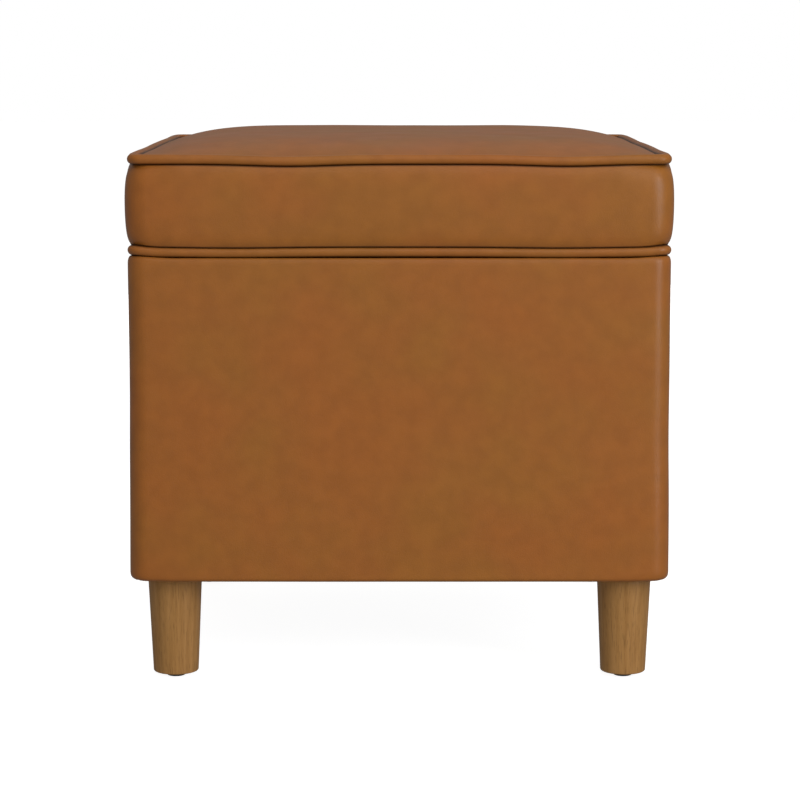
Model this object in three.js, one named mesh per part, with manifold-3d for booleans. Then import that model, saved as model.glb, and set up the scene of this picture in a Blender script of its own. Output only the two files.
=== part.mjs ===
// Cube storage ottoman: a padded lid, hinged at the rear, on an upholstered box with four tapered legs.
// Millimetres, +Z up. The origin is on the floor under the middle of the box. The front faces -Y.
import * as THREE from 'three';
import { mergeVertices } from 'three/addons/utils/BufferGeometryUtils.js';
import Module from 'manifold-3d';

const wasm = await Module();
wasm.setup();

// Driving dimensions of the box
const BODY_WIDTH = 432;
const FLOOR_TO_BODY = 83.3;
const BODY_TOP = 342.6;
const BODY_CORNER = 16;
const BOARD_CORNER = 9;
const REAR_DROP = 3;
const GAP = 0.3;
const LEATHER = 1.2;
const PAD = 2.7;
const BOARD = 12;
const LINING = 0.8;
const FLOOR_BOARD = 6;
const TURNED_EDGE = 26;
const FLAP_DEPTH = 24;

// Corner blocks, legs and their fasteners
const BLOCK_SIDE = 60;
const BLOCK_HEIGHT = 24;
const LEG_INSET = 33.8;
const LEG_TOP_RADIUS = 21.8;
const LEG_FOOT_RADIUS = 18.3;
const GLIDE_RADIUS = 7.7;
const GLIDE_HEIGHT = 3.6;
const BOLT_RADIUS = 3.9;
const BOLT_IN_LEG = 40;
const BOLT_ABOVE_LEG = 20;
const NUT_RADIUS = 5.5;
const NUT_FLANGE_RADIUS = 11;
const NUT_FLANGE = 1.2;
const NUT_DEPTH = 16;

// Lid
const LID_CORNER = 8;
const WELT_RADIUS = 4.1;
const LOWER_WELT_HALF = 211.6;
const LOWER_WELT_Z = 347.6;
const TOP_WELT_HALF = 211.46;
const TOP_WELT_Z = 420.5;
const BAND_BOTTOM = 352;
const BAND_TOP = 416;
const BAND_HALF = 218.04;
const BAND_ROUND = 1.4;
const BAND_EDGE_ROUND = 2;
const CROWN_RISE = 16.3;
const CROWN_FLATNESS = 6.76;
const CROWN_EDGE = 1.1;
const UNDERLINING = 0.6;
const UNDERLINING_BOTTOM = 346;

// Hinges
const AXIS_Y = 220.4;
const AXIS_Z = 341.6;
const HINGE_OFFSET = 120;
const HINGE_WIDTH = 50;
const LEAF = 1.2;
const KNUCKLE_RADIUS = 3.2;
const KNUCKLE_WIDTH = 16;
const PIN_RADIUS = 1.25;
const SCREW_RADIUS = 1.6;
const SCREW_HEAD_RADIUS = 2.9;
const SCREW_LENGTH = 13;
const SCREW_SPACING = 30;
const LID_SCREW_INSET = 31;
const LEAF_CLEARANCE = 0.4;
const LEAF_TAIL = 9;
const LEAF_STEP_BEHIND_WELT = 3;

// Lid stay: a flat-bar parallelogram, so both arms turn as far as the lid does
const STAY_ROOT = [181, 262];
const STAY_REACH = [-100, -7];
const ARM_THICKNESS = 2;
const ARM_HALF_WIDTH = 5;
const RIVET_RADIUS = 2.2;
const RIVET_HEAD_RADIUS = 3.8;
const RIVET_HEAD = 0.8;
const BRACKET = 1.5;
const PLATE_HALF_WIDTH = 12;
const PLATE_BELOW_PIVOT = 30;
const PLATE_ABOVE_PIVOT = 34;
const LUG_AWAY = 2.7;
const LUG_THICKNESS = 2;
const LUG_HEIGHT = [20, 30];
const EAR_HALF_WIDTH = 8;
const EAR_BELOW_PIVOT = 6;
const FLANGE = 16;

// Facets
const LEG_SIDES = 24;
const ROUND_SIDES = 16;
const SMALL_SIDES = 12;
const WELT_SIDES = 10;
const CORNER_STEPS = 5;
const SIDE_STEPS = 4;
const BAND_LEVELS = 10;
const FOAM_LEVELS = 8;
const SMALLEST_PLAN_RADIUS = 2;

// How far a cutting tool runs past the piece that it cuts
const PAST = 1;

// Levels and half-widths that follow from the driving dimensions
const bodyHalf = BODY_WIDTH / 2;
const padOuter = bodyHalf - LEATHER - GAP;
const boardOuter = padOuter - PAD - GAP;
const boardInner = boardOuter - BOARD;
const liningOuter = boardInner - GAP;
const liningInner = liningOuter - LINING;
const flapInner = liningOuter - LEATHER;
const boardBottom = FLOOR_TO_BODY + LEATHER + GAP;
const boardTop = BODY_TOP - LEATHER - GAP;
const blockTop = boardBottom + BLOCK_HEIGHT;
const floorBottom = blockTop + GAP;
const floorTop = floorBottom + FLOOR_BOARD;
const flapBottom = BODY_TOP - FLAP_DEPTH;
const rearTop = BODY_TOP - REAR_DROP;
const undersideOpening = bodyHalf - TURNED_EDGE;
const legCentre = bodyHalf - LEG_INSET;
const legTop = FLOOR_TO_BODY - GAP;
const legFoot = GLIDE_HEIGHT + GAP;
const lidBoardHalf = LOWER_WELT_HALF - WELT_RADIUS - GAP * 2;
const lidBoardBottom = UNDERLINING_BOTTOM + UNDERLINING + GAP;
const lidBoardTop = lidBoardBottom + BOARD;
const crownHalf = TOP_WELT_HALF - WELT_RADIUS - GAP;
const boxLeafBottom = rearTop + GAP;
const boxLeafTop = boxLeafBottom + LEAF;
const lidLeafLow = boxLeafTop + LEAF_CLEARANCE;
const lidLeafHigh = UNDERLINING_BOTTOM - GAP - LEAF;
const tongueStart = AXIS_Y - KNUCKLE_RADIUS - GAP * 2;
const outerArmX = flapInner - GAP * 2 - BRACKET - GAP - ARM_THICKNESS;
const innerArmX = outerArmX - GAP - ARM_THICKNESS;

// Colours, roughness and metalness
const finishes = {
  leather: { color: 0x9a5f30, roughness: 0.5, metalness: 0 },
  wood: { color: 0x96703f, roughness: 0.55, metalness: 0 },
  plywood: { color: 0xc9a878, roughness: 0.7, metalness: 0 },
  foam: { color: 0xe9e0c4, roughness: 0.9, metalness: 0 },
  wadding: { color: 0xe8e6e0, roughness: 0.95, metalness: 0 },
  cloth: { color: 0x1c1b1a, roughness: 0.9, metalness: 0 },
  steel: { color: 0x9a9a98, roughness: 0.35, metalness: 1 },
  glide: { color: 0x1d1a18, roughness: 0.5, metalness: 0 },
};

const ottoman = new THREE.Group();
const corners = [
  ['front_left', -1, -1],
  ['front_right', 1, -1],
  ['rear_left', -1, 1],
  ['rear_right', 1, 1],
];

// The signs of x and y in each quarter of the plan, anticlockwise from +X.
const quarterSigns = [[1, 1], [-1, 1], [-1, -1], [1, -1]];

// Adds one named piece to the ottoman.
function add(name, geometry, finish) {
  const mesh = new THREE.Mesh(geometry, new THREE.MeshStandardMaterial(finishes[finish]));
  mesh.name = name;
  ottoman.add(mesh);
  return mesh;
}

// Basic geometry

function box([x0, x1], [y0, y1], [z0, z1]) {
  const geometry = new THREE.BoxGeometry(x1 - x0, y1 - y0, z1 - z0);
  geometry.translate((x0 + x1) / 2, (y0 + y1) / 2, (z0 + z1) / 2);
  return geometry;
}

// A square slab centred on the Z axis.
function slab(half, z0, z1) {
  return box([-half, half], [-half, half], [z0, z1]);
}

function rodAlongZ(radius, [x, y], [z0, z1], sides = ROUND_SIDES) {
  const geometry = new THREE.CylinderGeometry(radius, radius, z1 - z0, sides);
  geometry.rotateX(Math.PI / 2);
  geometry.translate(x, y, (z0 + z1) / 2);
  return geometry;
}

function rodAlongX(radius, [x0, x1], [y, z], sides = SMALL_SIDES) {
  const geometry = new THREE.CylinderGeometry(radius, radius, x1 - x0, sides);
  geometry.rotateZ(Math.PI / 2);
  geometry.translate((x0 + x1) / 2, y, z);
  return geometry;
}

// A lathe about the Z axis from [radius, height] pairs.
function turned(profile, sides = ROUND_SIDES) {
  const outline = profile.map(([radius, height]) => new THREE.Vector2(radius, height));
  const geometry = new THREE.LatheGeometry(outline, sides);
  geometry.rotateX(Math.PI / 2);
  return closedBody(geometry);
}

function roundedSquarePrism(half, radius, z0, z1) {
  const shape = new THREE.Shape();
  const arc = half - radius;
  quarterSigns.forEach(([x, y], quarter) => {
    shape.absarc(x * arc, y * arc, radius, quarter * Math.PI / 2, (quarter + 1) * Math.PI / 2, false);
  });
  const geometry = new THREE.ExtrudeGeometry(shape, {
    depth: z1 - z0,
    bevelEnabled: false,
    curveSegments: CORNER_STEPS,
  });
  geometry.translate(0, 0, z0);
  return geometry;
}

// Merges a geometry's shared vertices, drops its collapsed triangles and turns its faces outwards.
function closedBody(source) {
  const bare = source.clone();
  bare.deleteAttribute('normal');
  bare.deleteAttribute('uv');
  const merged = mergeVertices(bare, 1e-4);
  const place = merged.attributes.position;
  const corner = [new THREE.Vector3(), new THREE.Vector3(), new THREE.Vector3()];
  const triangles = [];
  let volume = 0;
  for (let first = 0; first < merged.index.count; first += 3) {
    const ids = [0, 1, 2].map((offset) => merged.index.getX(first + offset));
    if (new Set(ids).size === 3) {
      ids.forEach((id, side) => corner[side].fromBufferAttribute(place, id));
      volume += corner[0].dot(corner[1].clone().cross(corner[2]));
      triangles.push(ids);
    }
  }
  if (volume < 0) {
    triangles.forEach((ids) => ids.reverse());
  }
  merged.setIndex(triangles.flat());
  merged.computeVertexNormals();
  return merged;
}

// Booleans

function solid(geometry) {
  const body = closedBody(geometry);
  return new wasm.Manifold(new wasm.Mesh({
    numProp: 3,
    vertProperties: Float32Array.from(body.attributes.position.array),
    triVerts: Uint32Array.from(body.index.array),
  }));
}

function geometryOf(manifold) {
  const mesh = manifold.getMesh();
  const geometry = new THREE.BufferGeometry();
  geometry.setAttribute('position', new THREE.BufferAttribute(mesh.vertProperties, 3));
  geometry.setIndex(new THREE.BufferAttribute(mesh.triVerts, 1));
  geometry.computeVertexNormals();
  return geometry;
}

function cut(base, ...tools) {
  return geometryOf(tools.reduce((body, tool) => body.subtract(solid(tool)), solid(base)));
}

function join(base, ...pieces) {
  return geometryOf(pieces.reduce((body, piece) => body.add(solid(piece)), solid(base)));
}

function common(base, other) {
  return geometryOf(solid(base).intersect(solid(other)));
}

// Bodies with a rounded-square plan

// The corner arc's centre is arcCentre from the middle both ways, and half is the plan's half-width.
function planPoint(step, half, arcCentre) {
  const perQuarter = CORNER_STEPS + SIDE_STEPS;
  const quarter = Math.floor(step / perQuarter);
  const along = step % perQuarter;
  const radius = Math.max(half - arcCentre, Math.min(half, SMALLEST_PLAN_RADIUS));
  const centre = half - radius;
  const arcPoint = (turn, share) => {
    const angle = (turn + share) * Math.PI / 2;
    const [signX, signY] = quarterSigns[turn % 4];
    return [signX * centre + radius * Math.cos(angle), signY * centre + radius * Math.sin(angle)];
  };
  if (along <= CORNER_STEPS) {
    return arcPoint(quarter, along / CORNER_STEPS);
  }
  const start = arcPoint(quarter, 1);
  const end = arcPoint(quarter + 1, 0);
  const share = (along - CORNER_STEPS) / SIDE_STEPS;
  return [0, 1].map((way) => start[way] + (end[way] - start[way]) * share);
}

// Sweeps a profile of [half-width, height] pairs round a rounded square. A height may be a function of x, y.
function squareLathe(profile, arcCentre) {
  const steps = 4 * (CORNER_STEPS + SIDE_STEPS);
  const outline = profile.map(([half]) => new THREE.Vector2(half, 0));
  const geometry = new THREE.LatheGeometry(outline, steps);
  const place = geometry.attributes.position;
  for (let step = 0; step <= steps; step += 1) {
    profile.forEach(([half, height], index) => {
      const [x, y] = planPoint(step % steps, half, arcCentre);
      const z = typeof height === 'function' ? height(x, y) : height;
      place.setXYZ(step * profile.length + index, x, y, z);
    });
  }
  return closedBody(geometry);
}

// Lid shapes

function crownFall(along) {
  const share = Math.min(Math.abs(along) / TOP_WELT_HALF, 1);
  return (1 - share ** CROWN_FLATNESS) ** CROWN_EDGE;
}

function crownHeight(x, y) {
  return TOP_WELT_Z + CROWN_RISE * crownFall(x) * crownFall(y);
}

function bandHalf(z) {
  const middle = (BAND_BOTTOM + BAND_TOP) / 2;
  const share = (z - middle) / ((BAND_TOP - BAND_BOTTOM) / 2);
  return BAND_HALF - BAND_ROUND * share ** 2 - BAND_EDGE_ROUND * share ** 10;
}

// Heights between two levels, closer together near both ends.
function bandLevels(low, high, count) {
  const half = (high - low) / 2;
  return Array.from({ length: count + 1 }, (_, index) => (
    low + half - half * Math.cos(Math.PI * index / count)
  ));
}

const crownRings = [0, 60, 110, 145, 170, 188, 199, crownHalf];
const lidArcCentre = TOP_WELT_HALF - LID_CORNER;

function welt(half, z) {
  const ring = Array.from({ length: WELT_SIDES + 1 }, (_, index) => {
    const angle = (index % WELT_SIDES) * 2 * Math.PI / WELT_SIDES;
    return [half + WELT_RADIUS * Math.cos(angle), z + WELT_RADIUS * Math.sin(angle)];
  });
  return squareLathe(ring, lidArcCentre);
}

function lidBand() {
  const levels = bandLevels(BAND_BOTTOM, BAND_TOP, BAND_LEVELS);
  const outside = levels.map((z) => [bandHalf(z), z]);
  const inside = levels.map((z) => [bandHalf(z) - LEATHER, z]).reverse();
  return squareLathe([...outside, ...inside, outside[0]], lidArcCentre);
}

function lidTopCover() {
  const top = crownRings.map((half) => [half, crownHeight]);
  const under = crownRings.map((half) => [half, (x, y) => crownHeight(x, y) - LEATHER]).reverse();
  return squareLathe([...top, ...under], lidArcCentre);
}

function lidFoam() {
  const inset = LEATHER + GAP;
  const sides = bandLevels(lidBoardTop + GAP, BAND_TOP - WELT_RADIUS / 2, FOAM_LEVELS);
  const flanks = sides.map((z) => [bandHalf(z) - inset, z]);
  const shoulder = BAND_TOP - GAP;
  const top = crownRings.map((half) => [half, (x, y) => crownHeight(x, y) - inset]).reverse();
  const base = [0, lidBoardTop + GAP];
  return squareLathe([base, ...flanks, [crownHalf, shoulder], ...top], lidArcCentre);
}

// A flat lid layer with holes for the hinge screws.
function lidLayer(bottom, thickness) {
  const holes = hingeScrewPlaces(hingeLidScrewY).map(([x, y]) => (
    rodAlongZ(SCREW_RADIUS + GAP, [x, y], [bottom - PAST, lidLeafHigh + SCREW_LENGTH + PAST], SMALL_SIDES)
  ));
  return cut(roundedSquarePrism(lidBoardHalf, LID_CORNER, bottom, bottom + thickness), ...holes);
}

// Box pieces

function bodyCover() {
  const outside = roundedSquarePrism(bodyHalf, BODY_CORNER, FLOOR_TO_BODY, BODY_TOP);
  const pocketCorner = BODY_CORNER - LEATHER;
  const pocket = roundedSquarePrism(bodyHalf - LEATHER, pocketCorner, boardBottom - GAP, boardTop + GAP);
  const flapBlock = slab(liningOuter, flapBottom, BODY_TOP);
  const well = slab(flapInner, boardBottom + GAP, BODY_TOP + PAST);
  const underside = slab(undersideOpening, FLOOR_TO_BODY - PAST, boardBottom + GAP * 2);
  const shell = cut(outside, cut(pocket, flapBlock), well, underside);
  const screwHoles = hingeScrewPlaces(hingeBoxScrewY).map(([x, y]) => (
    rodAlongZ(SCREW_RADIUS + GAP, [x, y], [rearTop - LEATHER - PAST, rearTop + PAST], SMALL_SIDES)
  ));
  const wrapped = join(cut(shell, lowRearSpace(LEATHER, [rearTop, BODY_TOP + PAST])), rearLip(outside));
  return cut(wrapped, ...screwHoles);
}

// The space over the lower rear wall. The side walls keep their full height up to its start.
function lowRearSpace(sideWallEnd, height) {
  const far = bodyHalf + PAST;
  const wide = box([-far, far], [boardInner + sideWallEnd, far], height);
  return join(wide, box([-flapInner, flapInner], [flapInner, far], height));
}

// The leather over the lower rear wall, with the two upstands that close the ends of the side walls.
function rearLip(outside) {
  const flat = lowRearSpace(0, [rearTop - LEATHER, rearTop]);
  const far = bodyHalf + PAST;
  const upstands = cut(
    box([-far, far], [boardInner, boardInner + LEATHER], [rearTop - LEATHER, BODY_TOP]),
    box([-flapInner, flapInner], [0, far], [0, BODY_TOP + PAST]),
  );
  return common(outside, join(flat, upstands));
}

// A full-width board, its outer edges rounded under the cover's corners.
function roundedBoard(thickness, [z0, z1]) {
  const board = box([-boardOuter, boardOuter], thickness, [z0, z1]);
  return common(board, roundedSquarePrism(boardOuter, BOARD_CORNER, z0, z1));
}

function sideBoards() {
  const side = [boardBottom, boardTop];
  const length = boardInner - GAP;
  add('front_board', roundedBoard([-boardOuter, -boardInner], side), 'plywood');
  add('left_board', box([-boardOuter, -boardInner], [-length, length], side), 'plywood');
  add('right_board', box([boardInner, boardOuter], [-length, length], side), 'plywood');
  const rear = roundedBoard([boardInner, boardOuter], [boardBottom, boardTop - REAR_DROP]);
  const holes = hingeScrewPlaces(hingeBoxScrewY).map(([x, y]) => (
    rodAlongZ(SCREW_RADIUS + GAP, [x, y], [boxLeafTop - SCREW_LENGTH - PAST, boardTop], SMALL_SIDES)
  ));
  add('rear_board', cut(rear, ...holes), 'plywood');
}

function pads() {
  const reach = bodyHalf - BODY_CORNER;
  const inner = padOuter - PAD;
  const height = [boardBottom, boardTop];
  const rearHeight = [boardBottom, boardTop - REAR_DROP];
  add('front_pad', box([-reach, reach], [-padOuter, -inner], height), 'wadding');
  add('rear_pad', box([-reach, reach], [inner, padOuter], rearHeight), 'wadding');
  const sideReach = [-reach, boardInner - GAP];
  add('left_pad', box([-padOuter, -inner], sideReach, height), 'wadding');
  add('right_pad', box([inner, padOuter], sideReach, height), 'wadding');
}

function cornerAssembly(name, signX, signY) {
  const centre = [signX * legCentre, signY * legCentre];
  const outer = liningOuter;
  const span = (sign) => [sign * outer, sign * (outer - BLOCK_SIDE)].sort((a, b) => a - b);
  const recess = blockTop - NUT_FLANGE - GAP * 2;
  const block = cut(
    box(span(signX), span(signY), [boardBottom, blockTop]),
    rodAlongZ(NUT_RADIUS + GAP, centre, [boardBottom - PAST, blockTop + PAST]),
    rodAlongZ(NUT_FLANGE_RADIUS + GAP, centre, [recess, blockTop + PAST]),
  );
  add(`corner_block_${name}`, block, 'plywood');
  place(add(`tee_nut_${name}`, teeNut(recess + GAP), 'steel'), centre);
  place(add(`leg_${name}`, leg(), 'wood'), centre);
  place(add(`leg_bolt_${name}`, legBolt(), 'steel'), centre);
  place(add(`glide_${name}`, glide(), 'glide'), centre);
}

function place(mesh, [x, y]) {
  mesh.position.set(x, y, 0);
}

function teeNut(flangeBottom) {
  const bore = BOLT_RADIUS + GAP;
  const flangeTop = flangeBottom + NUT_FLANGE;
  const barrelBottom = flangeTop - NUT_DEPTH;
  return turned([
    [bore, barrelBottom],
    [NUT_RADIUS, barrelBottom],
    [NUT_RADIUS, flangeBottom],
    [NUT_FLANGE_RADIUS, flangeBottom],
    [NUT_FLANGE_RADIUS, flangeTop],
    [bore, flangeTop],
    [bore, barrelBottom],
  ]);
}

function leg() {
  const bore = BOLT_RADIUS + GAP;
  const boreBottom = legTop - BOLT_IN_LEG;
  const edge = 1.5;
  return turned([
    [0, legFoot],
    [LEG_FOOT_RADIUS - edge, legFoot],
    [LEG_FOOT_RADIUS, legFoot + edge],
    [LEG_TOP_RADIUS, legTop],
    [bore, legTop],
    [bore, boreBottom],
    [0, boreBottom],
  ], LEG_SIDES);
}

function legBolt() {
  const bottom = legTop - BOLT_IN_LEG + GAP;
  const top = legTop + BOLT_ABOVE_LEG;
  const chamfer = 1;
  return turned([
    [0, bottom],
    [BOLT_RADIUS - chamfer, bottom],
    [BOLT_RADIUS, bottom + chamfer],
    [BOLT_RADIUS, top - chamfer],
    [BOLT_RADIUS - chamfer, top],
    [0, top],
  ]);
}

function glide() {
  const edge = 0.8;
  return turned([
    [0, 0],
    [GLIDE_RADIUS - edge, 0],
    [GLIDE_RADIUS, edge],
    [GLIDE_RADIUS, GLIDE_HEIGHT],
    [0, GLIDE_HEIGHT],
  ]);
}

function dustCover() {
  const sheet = slab(undersideOpening - GAP, FLOOR_TO_BODY + GAP, FLOOR_TO_BODY + GAP + LINING);
  const height = [FLOOR_TO_BODY - PAST, boardBottom + PAST];
  const holes = corners.map(([, signX, signY]) => (
    rodAlongZ(BOLT_RADIUS + GAP, [signX * legCentre, signY * legCentre], height)
  ));
  return cut(sheet, ...holes);
}

// The lining stands inside the walls and stops just below the cover's turned-in flap.
function wellLining() {
  const bottom = floorTop + GAP;
  const outside = slab(liningOuter, bottom, flapBottom - GAP);
  return cut(outside, slab(liningInner, bottom + LINING, BODY_TOP));
}

// Hinges

const hingeBoxScrewY = (boardInner + boardOuter) / 2;
const hingeLidScrewY = AXIS_Y - LID_SCREW_INSET;
const outerKnuckles = [
  [-HINGE_WIDTH / 2, -KNUCKLE_WIDTH / 2 - GAP],
  [KNUCKLE_WIDTH / 2 + GAP, HINGE_WIDTH / 2],
];
const middleKnuckle = [-KNUCKLE_WIDTH / 2, KNUCKLE_WIDTH / 2];

function hingeScrewPlaces(y) {
  return [-1, 1].flatMap((side) => [-1, 1].map((end) => (
    [side * HINGE_OFFSET + end * SCREW_SPACING / 2, y]
  )));
}

// A knuckle with the tongue that joins it to its leaf, bored for the pin.
function withKnuckles(leaf, spans, [tongueBottom, tongueTop]) {
  const barrels = spans.flatMap((span) => [
    rodAlongX(KNUCKLE_RADIUS, span, [AXIS_Y, AXIS_Z], ROUND_SIDES),
    box(span, [tongueStart - PAST, AXIS_Y - PIN_RADIUS * 1.5], [tongueBottom, tongueTop]),
  ]);
  const bore = rodAlongX(PIN_RADIUS + GAP, [-HINGE_WIDTH, HINGE_WIDTH], [AXIS_Y, AXIS_Z]);
  return cut(join(leaf, ...barrels), bore);
}

// A screw with a countersunk head at z = 0 and its shank running up.
function screw() {
  return turned([
    [0, 0],
    [SCREW_HEAD_RADIUS, 0],
    [SCREW_RADIUS, LEAF],
    [SCREW_RADIUS, SCREW_LENGTH - SCREW_RADIUS],
    [0, SCREW_LENGTH],
  ], SMALL_SIDES);
}

// The hole that a screw needs, a little larger all round.
function screwHole() {
  return turned([
    [0, -GAP],
    [SCREW_HEAD_RADIUS + GAP, -GAP],
    [SCREW_HEAD_RADIUS + GAP, GAP / 2],
    [SCREW_RADIUS + GAP, LEAF + GAP],
    [SCREW_RADIUS + GAP, SCREW_LENGTH + PAST],
    [0, SCREW_LENGTH + PAST],
  ], SMALL_SIDES);
}

function leafHoles(y, headLevel, pointsDown) {
  return [-1, 1].map((end) => {
    const hole = screwHole();
    if (pointsDown) {
      hole.rotateX(Math.PI);
    }
    hole.translate(end * SCREW_SPACING / 2, y, headLevel);
    return hole;
  });
}

function boxLeaf() {
  const wide = [-HINGE_WIDTH / 2, HINGE_WIDTH / 2];
  const leaf = box(wide, [boardInner, tongueStart], [boxLeafBottom, boxLeafTop]);
  const hinge = withKnuckles(leaf, outerKnuckles, [boxLeafBottom, boxLeafTop]);
  return cut(hinge, ...leafHoles(hingeBoxScrewY, boxLeafTop, true));
}

// The lid's leaf runs in low under the welt, then steps up to the underside of the lid.
function lidLeaf() {
  const wide = [-HINGE_WIDTH / 2, HINGE_WIDTH / 2];
  const stepY = LOWER_WELT_HALF - WELT_RADIUS - LEAF_STEP_BEHIND_WELT;
  const low = box(wide, [stepY, tongueStart], [lidLeafLow, lidLeafLow + LEAF]);
  const riser = box(wide, [stepY, stepY + LEAF], [lidLeafLow, lidLeafHigh + LEAF]);
  const high = box(wide, [hingeLidScrewY - LEAF_TAIL, stepY + LEAF], [lidLeafHigh, lidLeafHigh + LEAF]);
  const hinge = withKnuckles(join(low, riser, high), [middleKnuckle], [lidLeafLow, lidLeafLow + LEAF]);
  return cut(hinge, ...leafHoles(hingeLidScrewY, lidLeafHigh, false));
}

function hinges() {
  [['left', -1], ['right', 1]].forEach(([name, side]) => {
    const centre = [side * HINGE_OFFSET, 0];
    const pinSpan = [-HINGE_WIDTH / 2, HINGE_WIDTH / 2];
    place(add(`hinge_box_leaf_${name}`, boxLeaf(), 'steel'), centre);
    place(add(`hinge_lid_leaf_${name}`, lidLeaf(), 'steel'), centre);
    place(add(`hinge_pin_${name}`, rodAlongX(PIN_RADIUS, pinSpan, [AXIS_Y, AXIS_Z]), 'steel'), centre);
    [['inner', -1], ['outer', 1]].forEach(([end, way]) => {
      const x = side * (HINGE_OFFSET + way * SCREW_SPACING / 2);
      const boxScrew = add(`box_screw_${name}_${end}`, screw(), 'steel');
      boxScrew.rotation.x = Math.PI;
      boxScrew.position.set(x, hingeBoxScrewY, boxLeafTop);
      const lidScrew = add(`lid_screw_${name}_${end}`, screw(), 'steel');
      lidScrew.position.set(x, hingeLidScrewY, lidLeafHigh);
    });
  });
}

// Lid stay

const stayReachPoint = [AXIS_Y + STAY_REACH[0], AXIS_Z + STAY_REACH[1]];
const stayKnee = [STAY_ROOT[0] + STAY_REACH[0], STAY_ROOT[1] + STAY_REACH[1]];

// A flat bar with round ends between two pivots in the YZ plane, drilled at both.
function stayArm(from, to, x) {
  const length = Math.hypot(to[0] - from[0], to[1] - from[1]);
  const shape = new THREE.Shape();
  shape.absarc(0, 0, ARM_HALF_WIDTH, Math.PI / 2, Math.PI * 3 / 2, false);
  shape.absarc(length, 0, ARM_HALF_WIDTH, -Math.PI / 2, Math.PI / 2, false);
  [0, length].forEach((centre) => {
    const hole = new THREE.Path();
    hole.absarc(centre, 0, RIVET_RADIUS + GAP, 0, 2 * Math.PI, true);
    shape.holes.push(hole);
  });
  const bar = new THREE.ExtrudeGeometry(shape, {
    depth: ARM_THICKNESS,
    bevelEnabled: false,
    curveSegments: SMALL_SIDES / 2,
  });
  bar.rotateZ(Math.atan2(to[1] - from[1], to[0] - from[0]));
  bar.rotateX(Math.PI / 2);
  bar.rotateZ(Math.PI / 2);
  bar.translate(x, from[0], from[1]);
  return bar;
}

// A rivet along X through a pivot, with a head at each end of the given span.
function rivet([x0, x1], pivot) {
  return join(
    rodAlongX(RIVET_RADIUS, [x0 - RIVET_HEAD / 2, x1 + RIVET_HEAD / 2], pivot),
    rodAlongX(RIVET_HEAD_RADIUS, [x0 - RIVET_HEAD, x0], pivot),
    rodAlongX(RIVET_HEAD_RADIUS, [x1, x1 + RIVET_HEAD], pivot),
  );
}

function drill(pivot) {
  return rodAlongX(RIVET_RADIUS + GAP, [innerArmX - PAST, bodyHalf], pivot);
}

// A plate on the wall, with a lug that stops the lower arm when the lid is fully open.
function wallBracket() {
  const [y, z] = STAY_ROOT;
  const plateX = [outerArmX + ARM_THICKNESS + GAP, outerArmX + ARM_THICKNESS + GAP + BRACKET];
  const plateY = [y - PLATE_HALF_WIDTH, y + PLATE_HALF_WIDTH];
  const plate = box(plateX, plateY, [z - PLATE_BELOW_PIVOT, z + PLATE_ABOVE_PIVOT]);
  const lugY = y + ARM_HALF_WIDTH + LUG_AWAY;
  const lug = box([outerArmX, plateX[1]], [lugY, lugY + LUG_THICKNESS], LUG_HEIGHT.map((rise) => z + rise));
  const recess = rodAlongX(RIVET_HEAD_RADIUS + GAP, [plateX[1] - GAP, bodyHalf], STAY_ROOT);
  return cut(join(plate, lug), drill(STAY_ROOT), recess);
}

function lidBracket() {
  const [y, z] = stayReachPoint;
  const top = UNDERLINING_BOTTOM - GAP;
  const earX = [outerArmX, outerArmX + BRACKET];
  const ear = box(earX, [y - EAR_HALF_WIDTH, y + EAR_HALF_WIDTH], [z - EAR_BELOW_PIVOT, top]);
  const flange = box([outerArmX - FLANGE, earX[1]], [y - FLANGE, y + FLANGE], [top - BRACKET, top]);
  return cut(join(ear, flange), drill(stayReachPoint));
}

function stay() {
  add('stay_wall_bracket', wallBracket(), 'steel');
  add('stay_lid_bracket', lidBracket(), 'steel');
  add('stay_lower_arm', stayArm(STAY_ROOT, stayKnee, outerArmX), 'steel');
  add('stay_upper_arm', stayArm(stayKnee, stayReachPoint, innerArmX), 'steel');
  const wallFace = outerArmX + ARM_THICKNESS + GAP + BRACKET;
  const armsEnd = outerArmX + ARM_THICKNESS;
  add('stay_wall_rivet', rivet([outerArmX - GAP, wallFace + GAP / 2], STAY_ROOT), 'steel');
  add('stay_knee_rivet', rivet([innerArmX - GAP, armsEnd + GAP], stayKnee), 'steel');
  add('stay_lid_rivet', rivet([innerArmX - GAP, outerArmX + BRACKET + GAP], stayReachPoint), 'steel');
}

// Assembly

sideBoards();
pads();
add('floor_board', slab(liningOuter, floorBottom, floorTop), 'plywood');
corners.forEach(([name, signX, signY]) => cornerAssembly(name, signX, signY));
add('dust_cover', dustCover(), 'cloth');
add('body_cover', bodyCover(), 'leather');
add('well_lining', wellLining(), 'cloth');
hinges();
stay();

add('lid_board', lidLayer(lidBoardBottom, BOARD), 'plywood');
add('lid_underlining', lidLayer(UNDERLINING_BOTTOM, UNDERLINING), 'cloth');
add('lid_foam', lidFoam(), 'foam');
add('lid_top_cover', lidTopCover(), 'leather');
add('lid_band', lidBand(), 'leather');
add('lid_top_welt', welt(TOP_WELT_HALF, TOP_WELT_Z), 'leather');
add('lid_bottom_welt', welt(LOWER_WELT_HALF, LOWER_WELT_Z), 'leather');

export default ottoman;
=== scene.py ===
"""Cube storage ottoman in caramel faux leather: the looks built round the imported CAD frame. Metres, +Z up."""

import math

import bmesh
import bpy
from mathutils import Matrix, Vector, noise

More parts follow.
